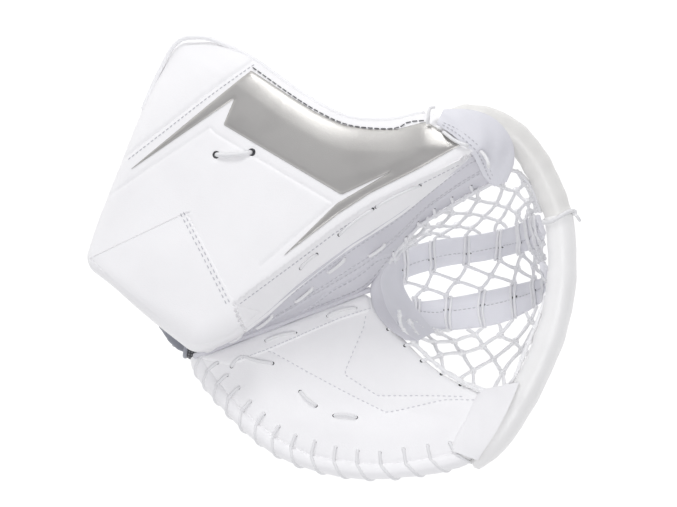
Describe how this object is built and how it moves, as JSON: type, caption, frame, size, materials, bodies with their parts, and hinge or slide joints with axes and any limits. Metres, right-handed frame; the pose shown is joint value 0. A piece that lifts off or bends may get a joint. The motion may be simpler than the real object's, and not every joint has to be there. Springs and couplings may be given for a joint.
{
  "type": "goalie catch glove",
  "caption": "Padded catch glove for an ice rink goalkeeper's left hand: a flat cuff and thumb board hinged to a dished palm, with a laced net pocket between them.",
  "frame": {"origin": "centre of the backhand pad's flat back face, on the surface that the glove lies on, palm up", "axes": "+X along the hand from the cuff to the fingertips, +Y towards the thumb, +Z out of the palm; the fold's axis is level and 31 degrees from +X"},
  "size_m": [0.3924, 0.3375, 0.1896],
  "materials": {
    "white_leather": "satin",
    "bead_leather": "satin",
    "silver_leather": "satin",
    "white_piping": "satin",
    "lace": "matte",
    "eyelet_metal": "satin",
    "foam": "matte",
    "plate_plastic": "matte",
    "back_mesh": "matte",
    "lining": "matte",
    "grip_suede": "matte",
    "strap_web": "matte",
    "hook_tape": "matte",
    "loop_tape": "matte"
  },
  "bodies": {
    "palm": {"backhand_pad": "back_mesh", "bead_finger": "bead_leather", "bead_tab_finger": "white_leather", "break_roll": "white_leather", "break_strip": "white_leather", "finger_shield_index": "back_mesh", "finger_shield_little": "back_mesh", "finger_shield_middle": "back_mesh", "finger_shield_ring": "back_mesh", "finger_stall_index": "lining", "finger_stall_little": "lining", "finger_stall_middle": "lining", "finger_stall_ring": "lining", "hand_lining": "lining", "hand_loop_patch": "loop_tape", "hand_strap_anchor": "strap_web", "knuckle_pad": "back_mesh", "palm_foam": "foam", "palm_grip": "grip_suede", "palm_laces": "lace", "palm_leather": "white_leather", "palm_plate": "plate_plastic", "rim_lacing": "lace", "rim_roll": "white_leather", "side_wall": "white_leather", "wrist_guard": "back_mesh", "wrist_loop_patch": "loop_tape", "wrist_strap_anchor": "strap_web"},
    "pocket": {"pocket_strap_thumb": "white_leather", "pocket_strap_finger": "white_leather", "pocket_base": "white_leather", "net_thumb": "lace", "net_finger": "lace", "net_centre": "lace", "bead_fold": "bead_leather", "fold_knot": "lace"},
    "thumb": {"cuff_cover_front": "white_leather", "cuff_cover_back": "white_leather", "cuff_edge_band": "white_leather", "cuff_foam_front": "foam", "cuff_foam_back": "foam", "cuff_stiffener": "plate_plastic", "accent_band": "silver_leather", "heel_overlay": "white_leather", "cuff_piping": "white_piping", "cuff_lace": "lace", "cuff_eyelets": "eyelet_metal", "thumb_wall": "white_leather", "thumb_gusset": "white_leather", "thumb_back_shell": "back_mesh", "thumb_stall": "lining", "thumb_laces": "lace", "bead_thumb": "bead_leather", "bead_tab_thumb": "white_leather"},
    "wrist_strap": {"wrist_strap": "strap_web", "wrist_strap_hook": "hook_tape"},
    "hand_strap": {"hand_strap": "strap_web", "hand_strap_hook": "hook_tape"}
  },
  "joints": [
    {"name": "pocket_fold", "type": "hinge", "parent": "palm", "child": "pocket", "pos_m": [0.03342, 0.03175, 0.088], "axis": [0.8572, 0.515, 0], "range_deg": [0, 20], "stiffness_Nm_per_rad": 1.6, "deforming": ["bead_fold", "net_finger"]},
    {"name": "thumb_fold", "type": "hinge", "parent": "pocket", "child": "thumb", "pos_m": [0.03342, 0.03175, 0.088], "axis": [0.8572, 0.515, 0], "range_deg": [0, 20], "stiffness_Nm_per_rad": 1.6, "deforming": ["net_thumb"]},
    {"name": "wrist_strap_peel", "type": "hinge", "parent": "palm", "child": "wrist_strap", "pos_m": [-0.0535, -0.0032, 0.0042], "axis": [-1, 0, 0], "range_deg": [0, 110]},
    {"name": "hand_strap_peel", "type": "hinge", "parent": "palm", "child": "hand_strap", "pos_m": [0.0275, -0.0342, 0.0009], "axis": [-1, 0, 0], "range_deg": [0, 110]}
  ],
  "couplings": [
    {"joint": "thumb_fold", "follows": "pocket_fold", "ratio": 1}
  ]
}
